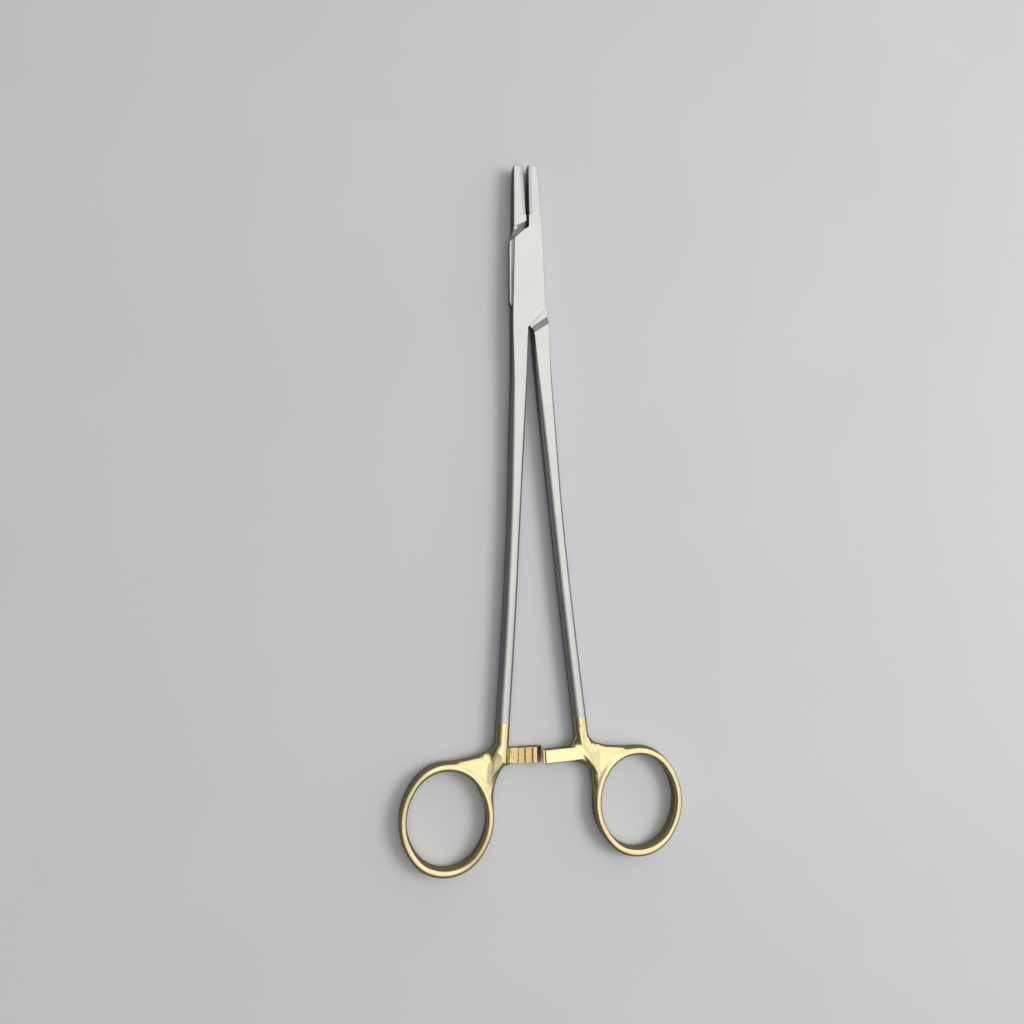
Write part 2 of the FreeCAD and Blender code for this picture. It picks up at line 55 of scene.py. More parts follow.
# %% [markdown]
# ## One drawing for both halves
# Both halves come from one drawing, made with the jaws shut: the mid-plane of the steel at
# z = 0, the pin at the origin, the jaw towards +y and the shank on the -x side.  The box half is
# that drawing, the tongue half its mirror image, and each is turned a little about the pin to open
# the jaws.  They could be modelled apart, in place, but then the two could differ by mistake.  So
# every shape below is computed in the drawing, in millimetres, and `settle` takes it to its place.

# %% Place of the two halves
pin_low, pin_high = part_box("pivot_pin")
HALF_HEIGHT = (pin_high.z - pin_low.z) / 2 / MM
JAW_OPENING = math.radians(2.55)
HALVES = {
    "box": {"side": 1, "body": "box_side", "node": "box_half"},
    "tongue": {"side": -1, "body": "tongue_side", "node": "tongue_half"},
}


def settle(points, side):
    """Drawing to frame: mirror in x for side -1, turn by half the opening, lift, and millimetres
    to metres."""
    turn = -side * JAW_OPENING / 2
    x, y, z = points[:, 0] * side, points[:, 1], points[:, 2]
    across = x * math.cos(turn) - y * math.sin(turn)
    along = x * math.sin(turn) + y * math.cos(turn)
    return np.stack([across, along, z + HALF_HEIGHT], axis=1) * MM


print("half the thickness of the lock, mm:", round(HALF_HEIGHT, 3))

# %% [markdown]
# ## From points to an object
# A mesh is a list of points and a list of faces that number them.  Both come from numpy as whole
# arrays, and `foreach_set` copies them into Blender in one go.  A piece may bring its own normals,
# one at each point: a polished surface shows every small error in them, so they come from the
# formula of the surface and not from its flat faces.

# %% Objects from arrays
def build(name, points, quads, side, normals=None):
    """A mesh object from drawing points and quads; a mirrored piece has its faces turned back."""
    if side < 0:
        quads = quads[:, ::-1]
    mesh = bpy.data.meshes.new(name)
    mesh.vertices.add(len(points))
    mesh.vertices.foreach_set("co", settle(points, side).astype(np.float32).ravel())
    mesh.loops.add(quads.size)
    mesh.loops.foreach_set("vertex_index", quads.astype(np.int32).ravel())
    mesh.polygons.add(len(quads))
    mesh.polygons.foreach_set("loop_start", np.arange(0, quads.size, quads.shape[1], dtype=np.int32))
    mesh.polygons.foreach_set("use_smooth", np.ones(len(quads), bool))
    mesh.update(calc_edges=True)
    if normals is not None:
        lift = settle(np.zeros((1, 3)), side)
        turned = (settle(normals, side) - lift) / MM
        mesh.normals_split_custom_set_from_vertices(turned)
    piece = bpy.data.objects.new(name, mesh)
    bpy.context.collection.objects.link(piece)
    return piece


def finish_piece(piece, half, material):
    """Gives a piece its material and its body, and hides the solid that it stands for."""
    piece.data.materials.clear()
    piece.data.materials.append(material)
    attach(piece, HALVES[half]["body"])
    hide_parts(HALVES[half]["node"])
    print(piece.name, len(piece.data.polygons), "faces")


# %% [markdown]
# ## Shader maths as Python
# A finish is a small sum: a base value plus a little noise.  Its nodes could be placed and wired by
# hand, but then the sum is hard to read.  `Value` wraps one socket and turns the operators + - *
# into Math nodes, so a finish reads like the sum that it is.

# %% A socket as a number
class Value:
    """A socket that carries a number; arithmetic on it adds Math nodes."""

    def __init__(self, finish, socket):
        self.finish = finish
        self.socket = socket

    def maths(self, operation, first, second):
        return self.finish.add("ShaderNodeMath", {"operation": operation}, {0: first, 1: second})

    def __add__(self, other):
        return self.maths("ADD", self, other)

    def __sub__(self, other):
        return self.maths("SUBTRACT", self, other)

    def __rsub__(self, other):
        return self.maths("SUBTRACT", other, self)

    def __mul__(self, other):
        return self.maths("MULTIPLY", self, other)

    __radd__ = __add__
    __rmul__ = __mul__


# %% [markdown]
# ## Node trees
# `Nodes` empties a node tree and adds any node with a single method: its settings first, because
# they decide which sockets it has, and then the values or links of those sockets.  `Finish` is the
# tree of one material.  Its noise reads Object coordinates, so the pattern has a real size and
# stays on the piece when the piece turns.

# %% Node trees and materials
class Nodes:
    """A node tree, emptied, to which nodes are added one call at a time."""

    def __init__(self, owner):
        self.owner = owner
        owner.use_nodes = True
        self.tree = owner.node_tree
        self.tree.nodes.clear()

    def add(self, kind, settings=None, inputs=None, output=0):
        """Adds a node: its settings first, then the values or links of its sockets."""
        node = self.tree.nodes.new(kind)
        for key, value in (settings or {}).items():
            if key == "stops":
                ramp = node.color_ramp
                while len(ramp.elements) < len(value):
                    ramp.elements.new(0.5)
                for element, (place, colour) in zip(ramp.elements, value):
                    element.position = place
                    element.color = colour
            else:
                setattr(node, key, value)
        for key, value in (inputs or {}).items():
            if isinstance(value, Value):
                self.tree.links.new(value.socket, node.inputs[key])
            elif value is not None:
                node.inputs[key].default_value = value
        return Value(self, node.outputs[output]) if len(node.outputs) else None


class Finish(Nodes):
    """A material: noise in millimetres, blends of colours, bump and the surface."""

    def __init__(self, name):
        super().__init__(bpy.data.materials.new(name))

    def place(self, stretch):
        """Object coordinates in millimetres, stretched per axis."""
        spot = self.add("ShaderNodeTexCoord", output=3)
        scale = [1 / MM / value for value in stretch]
        return self.add("ShaderNodeMapping", inputs={"Vector": spot, "Scale": scale})

    def noise(self, grain, detail=3.0, stretch=(1, 1, 1)):
        """Noise with blotches about grain millimetres across, longer along a stretched axis."""
        return self.add("ShaderNodeTexNoise",
                        inputs={"Vector": self.place(stretch), "Scale": 1 / grain, "Detail": detail})

    def blend(self, share, first, second):
        """A colour between two others."""
        return self.add("ShaderNodeMix", {"data_type": "RGBA"},
                        {"Factor": share, 6: first, 7: second}, output=2)

    def bump(self, height, distance):
        """Bump from a height socket; distance is the relief in millimetres."""
        return self.add("ShaderNodeBump",
                        inputs={"Height": height, "Strength": 1.0, "Distance": distance * MM})

    def surface(self, **sockets):
        """The Principled surface and the output."""
        named = {key.replace("_", " "): value for key, value in sockets.items()}
        shader = self.add("ShaderNodeBsdfPrincipled", inputs=named)
        self.add("ShaderNodeOutputMaterial", inputs={"Surface": shader})
        print(self.owner.name, "has", len(self.tree.nodes), "nodes")
        return self.owner


def tone(red, green, blue):
    """A display colour, 0 to 255, as the linear colour that Blender stores."""
    share = np.array([red, green, blue]) / 255
    linear = np.where(share <= 0.04045, share / 12.92, ((share + 0.055) / 1.055) ** 2.4)
    return (*linear.tolist(), 1.0)


# %% [markdown]
# ## Satin steel
# The steel is stainless, blasted with glass beads to a satin finish so that bright lamps don't
# dazzle.  A metal shows little but its reflections, so the finish is its roughness: about a third,
# a little uneven, over a grain of a tenth of a millimetre.

# %% Steel
steel = Finish("satin_steel")
clouds = steel.noise(9.0, 4.0)
grain = steel.noise(0.11, 2.0, (1, 2.2, 1))
steel_colour = steel.blend(clouds, tone(198, 200, 199), tone(220, 221, 218))
satin_steel = steel.surface(
    Base_Color=steel_colour,
    Metallic=1.0,
    Roughness=0.27 + clouds * 0.1 + grain * 0.05,
    Normal=steel.bump(grain, 0.004))

# %% [markdown]
# ## Gold-plated handles
# Gilt handles mark a needle holder that has carbide in its jaws.  They are polished before they
# are plated, so they mirror the room.  Hands and washing leave a faint haze and very fine lines,
# so the roughness is low and uneven rather than a single number.

# %% Gold
gold = Finish("polished_gold")
haze = gold.noise(5.0, 5.0)
lines = gold.noise(0.25, 2.0, (1, 7, 1))
gold_colour = gold.blend(haze, tone(228, 212, 161), tone(242, 229, 180))
polished_gold = gold.surface(
    Base_Color=gold_colour,
    Metallic=1.0,
    Roughness=0.09 + haze * 0.07 + lines * 0.03,
    Normal=gold.bump(lines, 0.002))

# %% [markdown]
# ## Gold on the teeth
# The box half's ratchet arm is browner and duller, in blotches a little under a millimetre
# across: the brown is painted shade, for the shade that falls between the teeth.

# %% Gold with painted shade on the teeth
teeth = Finish("gold_with_painted_shade")
painted_shade_blotches = teeth.noise(0.9, 3.0)
gold_with_painted_shade = teeth.surface(
    # Painted shade: the blend darkens the gold to brown in blotches all over the arm.
    Base_Color=teeth.blend(painted_shade_blotches * 2.0 - 0.5, tone(208, 176, 122), tone(242, 222, 166)),
    Metallic=1.0,
    Roughness=0.22 + painted_shade_blotches * 0.15,
    Normal=teeth.bump(painted_shade_blotches, 0.02))

# %% [markdown]
# ## Carbide
# The inserts are sintered tungsten carbide, ground and cross-cut: darker and duller than the
# steel that holds them, with fine specks.

# %% Carbide
carbide = Finish("sintered_carbide")
specks = carbide.noise(0.09, 3.0)
sintered_carbide = carbide.surface(
    Base_Color=carbide.blend(specks, tone(178, 180, 180), tone(206, 207, 204)),
    Metallic=1.0,
    Roughness=0.38 + specks * 0.12,
    Normal=carbide.bump(specks, 0.006))

# %% [markdown]
# ## Jaws and box lock
# The lock is machined: flat cheeks, sharp ramps and a fine fit.  Its solids are already right, and
# to draw them again would only bring in errors.  So each half is a copy of the solid, merged into
# one skin, cut off where the shank starts, with its sharp edges broken by a bevel of a few
# hundredths of a millimetre, as a wheel leaves them.

# %% Jaw and lock pieces
SHANK_TOP = 17.0
EDGE_BREAK = 0.07
MERGE = 0.002
CUT_REACH = 0.0002
FLAT = math.radians(1.0)
SHARP = math.radians(20)
BEVELLED = math.radians(28)


def lock_piece(half):
    """The part of a half above the shank, as a merged copy of its solid."""
    side, node = HALVES[half]["side"], HALVES[half]["node"]
    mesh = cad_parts[node].data.copy()
    turn = Matrix.Rotation(-side * JAW_OPENING / 2, 3, "Z")
    work = bmesh.new()
    work.from_mesh(mesh)
    bmesh.ops.remove_doubles(work, verts=work.verts, dist=MERGE * MM)
    everything = list(work.verts) + list(work.edges) + list(work.faces)
    bmesh.ops.bisect_plane(work, geom=everything, dist=CUT_REACH * MM, clear_outer=True,
                           plane_co=turn @ Vector((0, -SHANK_TOP * MM, 0)),
                           plane_no=turn @ Vector((0, -1, 0)))
    rim = [edge for edge in work.edges if edge.is_boundary]
    bmesh.ops.holes_fill(work, edges=rim)
    bmesh.ops.dissolve_limit(work, angle_limit=FLAT, verts=work.verts, edges=work.edges)
    bmesh.ops.recalc_face_normals(work, faces=work.faces)
    work.to_mesh(mesh)
    work.free()
    piece = bpy.data.objects.new(half + "_jaw_and_lock", mesh)
    bpy.context.collection.objects.link(piece)
    mesh.polygons.foreach_set("use_smooth", np.ones(len(mesh.polygons), bool))
    mesh.set_sharp_from_angle(angle=SHARP)
    bevel = piece.modifiers.new("broken edges", "BEVEL")
    bevel.width = EDGE_BREAK * MM
    bevel.segments = 2
    bevel.limit_method = "ANGLE"
    bevel.angle_limit = BEVELLED
    bevel.harden_normals = True
    return piece


for half in HALVES:
    finish_piece(lock_piece(half), half, satin_steel)

# %% [markdown]
# ## Shanks
# A shank is forged round and ground flat on its broad faces.  Its section is a rounded rectangle
# that changes slowly: tall and sharp at the lock, lower and rounder towards the handles.  A bevel
# has one width everywhere and can't do that.  So the shank is a profile carried along a path, with
# all its sizes read from smooth curves of the distance below the pin.

# %% Shank stations
STATIONS = np.array([17.0, 27.0, 44.0, 70.0, 100.0, 132.5])
OFFSETS = np.array([2.80, 2.95, 3.65, 4.80, 6.50, 8.75])
WIDTHS = np.array([4.5, 4.5, 4.5, 4.0, 4.0, 4.2])
HEIGHTS = np.array([6.0, 5.5, 5.0, 4.5, 4.5, 4.4])
CORNERS = np.array([0.3, 0.9, 1.6, 1.84, 1.93, 2.0])
GOLD_START = 130.0
print("shank from", SHANK_TOP, "to", GOLD_START, "mm below the pin")


# %% Smooth curves and rounded sections
def curve(stations, values, wanted):
    """A smooth line through the values: a cubic between stations whose slope at each station is the
    mean of the two chords that meet there."""
    chord = np.diff(values) / np.diff(stations)
    slope = np.concatenate([chord[:1], (chord[1:] + chord[:-1]) / 2, chord[-1:]])
    index = np.clip(np.searchsorted(stations, wanted) - 1, 0, len(chord) - 1)
    step = stations[index + 1] - stations[index]
    t = (wanted - stations[index]) / step
    return ((2 * t**3 - 3 * t**2 + 1) * values[index] + (t**3 - 2 * t**2 + t) * step * slope[index]
            + (3 * t**2 - 2 * t**3) * values[index + 1] + (t**3 - t**2) * step * slope[index + 1])


def rounded_section(wide, high, corner, per_corner):
    """Round a rounded rectangle: a quarter circle about each corner's centre, with the flats
    between them."""
    quarter = np.linspace(0, math.pi / 2, per_corner)
    angle = np.concatenate([quarter + math.pi / 2 * index for index in range(4)])
    right = np.repeat([1, -1, -1, 1], per_corner)
    top = np.repeat([1, 1, -1, -1], per_corner)
    x = right * (wide / 2 - corner)[:, None] + corner[:, None] * np.cos(angle)
    z = top * (high / 2 - corner)[:, None] + corner[:, None] * np.sin(angle)
    return x, z, angle


def tube_quads(rings, around):
    """Quads of a grid that closes on itself around; a strip of quads across each end closes the
    tube."""
    ring, step = np.meshgrid(np.arange(rings - 1), np.arange(around), indexing="ij")
    after = (step + 1) % around
    wall = np.stack([ring * around + step, ring * around + after,
                     (ring + 1) * around + after, (ring + 1) * around + step], axis=-1).reshape(-1, 4)
    near = np.arange(around // 2 - 1)
    cap = np.stack([near, around - 1 - near, around - 2 - near, near + 1], axis=-1)
    return np.concatenate([wall, cap, cap[:, ::-1] + (rings - 1) * around])


# %% Shanks
SHANK_RINGS = 240
SHANK_PER_CORNER = 12


def shank_piece(half):
    """The section carried down the shank; the normal is the cross product of the direction around
    the section and the direction down the shank."""
    along = np.linspace(SHANK_TOP, GOLD_START, SHANK_RINGS)
    centre, wide, high, corner = (curve(STATIONS, values, along)
                                  for values in (-OFFSETS, WIDTHS, HEIGHTS, CORNERS))
    x, z, angle = rounded_section(wide, high, corner, SHANK_PER_CORNER)
    grid = np.stack([x + centre[:, None], -np.repeat(along[:, None], x.shape[1], axis=1), z], axis=-1)
    down = np.gradient(grid, along, axis=0)
    around = np.stack([-np.sin(angle), 0 * angle, np.cos(angle)], axis=-1)[None]
    normal = np.cross(np.broadcast_to(around, grid.shape), down)
    normal /= np.linalg.norm(normal, axis=-1, keepdims=True)
    return build(half + "_shank", grid.reshape(-1, 3), tube_quads(*x.shape),
                 HALVES[half]["side"], normal.reshape(-1, 3))


for half in HALVES:
    finish_piece(shank_piece(half), half, satin_steel)

# %% [markdown]
# ## Edge of the tongue
# The tongue runs through the slot of the box half and is a little wider than the cheeks, so that
# its edge shows beside them as a thin bright line.  Two bars make it, profiles along a path like
# the shanks: the lip is the narrow line itself, which climbs into the shoulder of the jaw, and the
# flange, lower and out of the light, joins it to the tongue.

# %% Edge of the tongue
EDGE_ALONG = np.array([16.0, 13.6, 12.2, 10.8, 9.5, 0.0, -7.0, -8.3])
EDGE_ACROSS = np.array([3.6, 3.9, 4.4, 4.9, 5.05, 5.5, 5.85, 5.4])
LIP_INNER = np.array([2.6, 3.0, 3.7, 4.3, 4.55, 5.0, 5.4, 5.2])
LIP_HEIGHT = np.array([2.9, 2.8, 1.9, 1.0, 1.0, 1.0, 1.0, 1.0])
FLANGE_INNER = np.full_like(EDGE_ALONG, 3.0)
FLANGE_HEIGHT = np.full_like(EDGE_ALONG, 0.35)
EDGE_CORNER = 0.08


def tongue_edge(name, inner, height):
    """A bar along the edge of the tongue, from inner to EDGE_ACROSS, as high on both faces; its
    sizes change in straight lines between the stations."""
    spans = zip(EDGE_ALONG[:-1], EDGE_ALONG[1:])
    along = np.unique(np.concatenate([np.linspace(first, last, 12) for first, last in spans]))[::-1]
    left, right, high = (np.interp(-along, -EDGE_ALONG, values)
                         for values in (inner, EDGE_ACROSS, height))
    x, z, _ = rounded_section(right - left, 2 * high, np.full_like(left, EDGE_CORNER), 6)
    middle = (left + right)[:, None] / 2
    grid = np.stack([x + middle, np.repeat(along[:, None], x.shape[1], axis=1), z], axis=-1)
    return build(name, grid.reshape(-1, 3), tube_quads(*x.shape), HALVES["tongue"]["side"])


tongue_lip = tongue_edge("tongue_lip", LIP_INNER, LIP_HEIGHT)
tongue_flange = tongue_edge("tongue_flange", FLANGE_INNER, FLANGE_HEIGHT)
for piece in (tongue_lip, tongue_flange):
    finish_piece(piece, "tongue", satin_steel)

# %% [markdown]
# ## Finger ring and web as a distance field
# Where the shank, the ratchet arm and the finger ring meet, the forging is one soft form.  Sweeps
# would leave seams there.  A distance field has none: each form is a function that is negative
# inside the metal, and a smooth minimum melts forms together.  The skin is the surface where the
# field is zero.  Places are in the drawing; where the two halves differ, side 1 is the box half
# and side -1 the tongue half.

# %% Sizes of the handle
RING_CENTRE = np.array([-25.3, -157.3])
RING_HALF_WIDTH = 12.6
RING_HALF_LENGTH = 15.3
RING_END = 0.887 * RING_HALF_WIDTH
RING_LEAN = math.radians(-1.65)
BAND = 1.12
BAND_ROUND = 1.0
HANDLE_HALF = 2.25
SHANK_ROUND = 2.0
WEB_ROUND = 1.8
WEB_STEP = 0.4
ARM_TOP = {1: -138.1, -1: -138.6}
ARM_BOTTOM = -142.7
ARM_BACK = 2.2
ROOT_TOP = 0.6
CLEFT_Y = -141.0
KNEE_Y = -147.4
VALLEY = {
    1: [(-11.8, -141.0), (-12.1, -145.3), (-11.8, -148.0)],
    -1: [(-9.1, -133.3), (-10.0, -138.6), (-12.2, -142.3), (-12.1, -143.9), (-12.8, -146.9)],
}
VALLEY_DEPTH = {1: 0.13, -1: 0.07}
VALLEY_REACH = {1: 3.0, -1: 1.2}


print("ring opening, mm:", round(2 * (RING_HALF_WIDTH - BAND), 1), "by",
      round(2 * (RING_HALF_LENGTH - BAND), 1))


# %% Distances in plan
def oval_line(x, y):
    """Signed distance in plan to the ring's centre line, an oval of four tangent arcs: end arcs
    about points on its long axis, side arcs about points on its short one."""
    cos, sin = math.cos(RING_LEAN), math.sin(RING_LEAN)
    u = np.abs((x - RING_CENTRE[0]) * cos + (y - RING_CENTRE[1]) * sin)
    v = np.abs((y - RING_CENTRE[1]) * cos - (x - RING_CENTRE[0]) * sin)
    rise = RING_HALF_LENGTH - RING_END
    side = (RING_HALF_WIDTH**2 + rise**2 - RING_END**2) / (2 * (RING_HALF_WIDTH - RING_END))
    inward = side - RING_HALF_WIDTH
    at_end = (u + inward) * rise < v * inward
    return np.where(at_end, np.hypot(u, v - rise) - RING_END, np.hypot(u + inward, v) - side)


def chain(x, y, starts, ends):
    """Distance in plan to the nearest of some straight lines: to the foot of the perpendicular, or
    to the line's end where the foot lies past it."""
    nearest = np.inf
    for (ax, ay), (bx, by) in zip(starts, ends):
        ex, ey = bx - ax, by - ay
        share = np.clip(((x - ax) * ex + (y - ay) * ey) / (ex * ex + ey * ey), 0, 1)
        nearest = np.minimum(nearest, np.hypot(x - ax - ex * share, y - ay - ey * share))
    return nearest


def polygon(x, y, corners):
    """Signed distance in plan to a polygon: to the nearest edge, negative inside, where a line to
    the side crosses the edges an odd number of times."""
    following = np.roll(corners, -1, axis=0)
    nearest = chain(x, y, corners, following)
    inside = np.zeros(nearest.shape, bool)
    for (ax, ay), (bx, by) in zip(corners, following):
        crosses = (ay > y) != (by > y)
        inside ^= crosses & (x < (bx - ax) * (y - ay) / (by - ay if by != ay else 1e-9) + ax)
    return np.where(inside, -nearest, nearest)


# %% Thickness and fillets
def slab(plan, z, half_height, rounding):
    """A plan shape given thickness and a rounded rim: the distance to the shape shrunk by the
    rounding, less the rounding."""
    wide = plan + rounding
    high = np.abs(z) - half_height + rounding
    outside = np.hypot(np.maximum(wide, 0), np.maximum(high, 0))
    return np.minimum(np.maximum(wide, high), 0) + outside - rounding


def melt(a, b, reach):
    """Smooth minimum: where two forms are within reach of each other they share a fillet, a
    quarter of the reach deep at its middle."""
    share = np.maximum(reach - np.abs(a - b), 0) / reach
    return np.minimum(a, b) - share * share * reach / 4


# %% [markdown]
# ## The handle's outline and field
# In plan the handle is a shoulder that goes on from the shank, a web that fans out to the ring, and
# the ring's band.  The shoulder and the web meet in a shallow valley that runs from the cleft above
# to the knee below.  The valley is pressed in by scaling z near its line, which thins both faces
# alike.

# %% Outline of shoulder and web
def shank_edge(along, side):
    """x of the shank's edge at a place along it, on the line of its last two stations; side -1 is
    the outer edge."""
    slope = (OFFSETS[-1] - OFFSETS[-2]) / (STATIONS[-1] - STATIONS[-2])
    return -(OFFSETS[-1] + slope * (-along - STATIONS[-1])) + side * WIDTHS[-1] / 2


SHOULDER = np.array([
    (shank_edge(-126, 1), -126), (shank_edge(-126, -1), -126), (shank_edge(-136.0, -1), -136.0),
    (-13.2, -140.0), (-13.6, -143.6), (-13.9, -149.2), (-8.2, ARM_BOTTOM),
    (shank_edge(ARM_BOTTOM, 1), ARM_BOTTOM)])
WEB = np.array([
    (-11.2, -140.2), (-14.3, -139.25), (-24.6, -140.85), (-26.5, -143.2),
    (-15.2, -150.0), (-13.2, -155.5), (-11.65, -155.0), (-11.4, -144.0)])
print("corners of the shoulder:", len(SHOULDER), "and of the web:", len(WEB))

# %% Field of the handle
WEB_INTO_BAND = 0.2
BAND_MELT = 0.8
SHOULDER_MELT = 0.3
CLEFT_MELT = 3.4
LEAST_CLEFT = {1: 1.0, -1: 0.12}
CLEFT_POWER = {1: 2, -1: 1}
ROOT_START = -9.0
ROOT_END = {1: -5.7, -1: -3.6}
ROOT_MELT = {1: 1.8, -1: 3.8}
ROOT_LEAST_MELT = 0.2
ROOT_ROUND = 0.5
ROOT_SPARE = 0.01


def handle_field(x, y, z, side):
    """Shoulder, web, ring and the arm's root, melted together.  The fillets are wide at mid height
    and narrow at the faces, by 1 - (z / half height) squared, and shrink from cleft to knee."""
    off = chain(x, y, VALLEY[side][:-1], VALLEY[side][1:])
    pressed = z / (1 - VALLEY_DEPTH[side] * np.maximum(1 - off / VALLEY_REACH[side], 0))
    shoulder = slab(polygon(x, y, SHOULDER), pressed, HANDLE_HALF, SHANK_ROUND)
    line = oval_line(x, y)
    web_plan = np.maximum(polygon(x, y, WEB), -line - WEB_INTO_BAND)
    web = slab(web_plan, pressed, HANDLE_HALF - WEB_STEP, WEB_ROUND)
    bow = melt(web, slab(np.abs(line) - BAND, z, HANDLE_HALF, BAND_ROUND), BAND_MELT)
    level = np.clip(1 - (z / HANDLE_HALF) ** 2, 0, 1)
    near_cleft = np.clip((y - KNEE_Y) / (CLEFT_Y - KNEE_Y), LEAST_CLEFT[side], 1)
    fillet = SHOULDER_MELT + CLEFT_MELT * level ** CLEFT_POWER[side] * near_cleft
    body = melt(shoulder, bow, fillet)
    middle = (ARM_TOP[side] + ARM_BOTTOM) / 2
    along = np.maximum(x - ROOT_END[side], ROOT_START - x)
    across = np.abs(y - middle) - (ARM_TOP[side] - ARM_BOTTOM) / 2 - ROOT_SPARE
    half_high = (ARM_BACK - ROOT_TOP) / 2 + ROOT_SPARE
    lowered = z + side * (ROOT_TOP + ARM_BACK) / 2
    root = slab(np.maximum(along, across), lowered, half_high, ROOT_ROUND)
    return melt(body, root, ROOT_LEAST_MELT + ROOT_MELT[side] * level)


# %% [markdown]
# ## Skin of a field
# A skin could be cut from a block of voxels with a modifier, but its steps would show in the
# polish.  Surface nets are smoother: space is cut into small cells, each cell that the surface
# crosses gets one vertex, and each grid edge that it crosses joins the four cells around it.  A few
# Newton steps then put every vertex exactly on the surface, and the field's slope is its normal.

# %% Slope of a field
NUDGE = 0.01


def slope_of(field, points):
    """The field's gradient: the difference of its values a nudge to each side, over both nudges."""
    parts = []
    for axis in range(3):
        shift = np.zeros(3)
        shift[axis] = NUDGE
        parts.append((field(*(points + shift).T) - field(*(points - shift).T)) / (2 * NUDGE))
    return np.stack(parts, axis=1)


# %% Surface nets
CELL = 0.17
NEWTON_STEPS = 4
LEAST_SLOPE = 0.05


def corners_inside(inside):
    """How many of each cell's eight corners are inside the metal."""
    runs = [(slice(None, -1), slice(1, None))] * 3
    return sum(inside[runs[0][i], runs[1][j], runs[2][k]].astype(np.int8)
               for i in (0, 1) for j in (0, 1) for k in (0, 1))


def skin(field, low, high):
    """Vertices, quads and normals of the surface where a field is zero, inside a box.  A Newton
    step moves a point against the slope by the field's value over the slope squared."""
    axes = [np.arange(a, b + CELL, CELL) for a, b in zip(low, high)]
    value = field(axes[0][:, None, None], axes[1][None, :, None], axes[2][None, None, :])
    inside = value < 0
    count = corners_inside(inside)
    active = (count > 0) & (count < 8)
    number = np.full(active.shape, -1, np.int64)
    number[active] = np.arange(active.sum())
    cells = np.argwhere(active)
    points = np.stack([axes[a][cells[:, a]] + CELL / 2 for a in range(3)], axis=1)
    quads = []
    for axis in range(3):
        first = np.moveaxis(inside, axis, 0)
        change = first[:-1] != first[1:]
        leaving = first[:-1]
        cube = np.moveaxis(number, axis, 0)
        where = change[:, 1:-1, 1:-1]
        a, b, c = np.nonzero(where)
        corner = [cube[a, b + i, c + j] for i, j in ((0, 0), (1, 0), (1, 1), (0, 1))]
        quad = np.stack(corner, axis=1)
        outward = leaving[:, 1:-1, 1:-1][where]
        if axis == 1:
            outward = ~outward
        quads.append(np.where(outward[:, None], quad, quad[:, ::-1]))
    for _ in range(NEWTON_STEPS):
        gradient = slope_of(field, points)
        steepness = np.maximum((gradient**2).sum(1), LEAST_SLOPE)
        points = points - gradient * (field(*points.T) / steepness)[:, None]
    normals = slope_of(field, points)
    normals /= np.linalg.norm(normals, axis=1, keepdims=True)
    return points, np.concatenate(quads), normals


# %% [markdown]
# ## Ratchet arms
# The two arms pass over each other when the handles close, each half as high as the rings, and
# their saw teeth face each other.  The teeth are crisp and would blur in the distance field.  So an
# arm is a saw profile drawn from the side and given width, with its edges rounded by a bevel.  The
# long edges of the back are rounded most, where the hand may touch them.

# %% Ratchet arm
TOOTH_CREST = 0.05
TOOTH_PITCH = 2.25
FIRST_DROP = 0.5
TEETH = 3
CREST_LENGTH = 0.4
ARM_START = -6.6
ARM_REACH = 3.15
TIP_LIP = [(-0.75, 0.0), (-0.6, 0.4), (0.0, 0.45), (0.0, 0.9)]
TIP_SLOPE = 1.5


def arm_profile():
    """The saw in x and z, anticlockwise from the arm's start along its back: the lip at the tip,
    the slope under it, then for each tooth a crest, a drop to the root line and a rise."""
    profile = [(ARM_START, ARM_BACK)]
    profile += [(ARM_REACH + x, ARM_BACK - z) for x, z in TIP_LIP]
    profile += [(ARM_REACH - TIP_SLOPE, TOOTH_CREST), (FIRST_DROP, TOOTH_CREST)]
    for tooth in range(1, TEETH):
        drop = FIRST_DROP - tooth * TOOTH_PITCH
        crest_end = drop + CREST_LENGTH
        profile += [(drop + TOOTH_PITCH, ROOT_TOP), (crest_end, TOOTH_CREST), (drop, TOOTH_CREST)]
    return profile + [(drop, ROOT_TOP), (ARM_START, ROOT_TOP)]


# %% Ratchet arm as a piece
ROUND_BACK = 0.6
LIGHT_SHARE = 0.25


def arm_piece(half):
    """The profile carried across the arm in y, with a bevel that is full on the back's long edges
    and a share of it elsewhere."""
    side = HALVES[half]["side"]
    profile = arm_profile()
    count = len(profile)
    points = np.array([(x, y, -side * z) for y in (ARM_TOP[side], ARM_BOTTOM) for x, z in profile])
    mesh = bpy.data.meshes.new(half + "_ratchet_arm")
    walls = [(i, (i + 1) % count, count + (i + 1) % count, count + i) for i in range(count)]
    caps = [tuple(range(count)), tuple(range(2 * count - 1, count - 1, -1))]
    mesh.from_pydata(settle(points, side).tolist(), [], walls + caps)
    work = bmesh.new()
    work.from_mesh(mesh)
    bmesh.ops.recalc_face_normals(work, faces=work.faces)
    weight = work.edges.layers.float.new("bevel_weight_edge")
    for edge in work.edges:
        first, second = edge.verts[0].index, edge.verts[1].index
        on_back = {first % count, second % count} == {0, 1} and abs(first - second) == 1
        edge[weight] = 1.0 if on_back else LIGHT_SHARE
    work.to_mesh(mesh)
    work.free()
    mesh.polygons.foreach_set("use_smooth", np.ones(len(mesh.polygons), bool))
    piece = bpy.data.objects.new(half + "_ratchet_arm", mesh)
    bpy.context.collection.objects.link(piece)
    bevel = piece.modifiers.new("rounded edges", "BEVEL")
    bevel.width = ROUND_BACK * MM
    bevel.limit_method = "WEIGHT"
    bevel.segments = 4
    bevel.harden_normals = True
    return piece


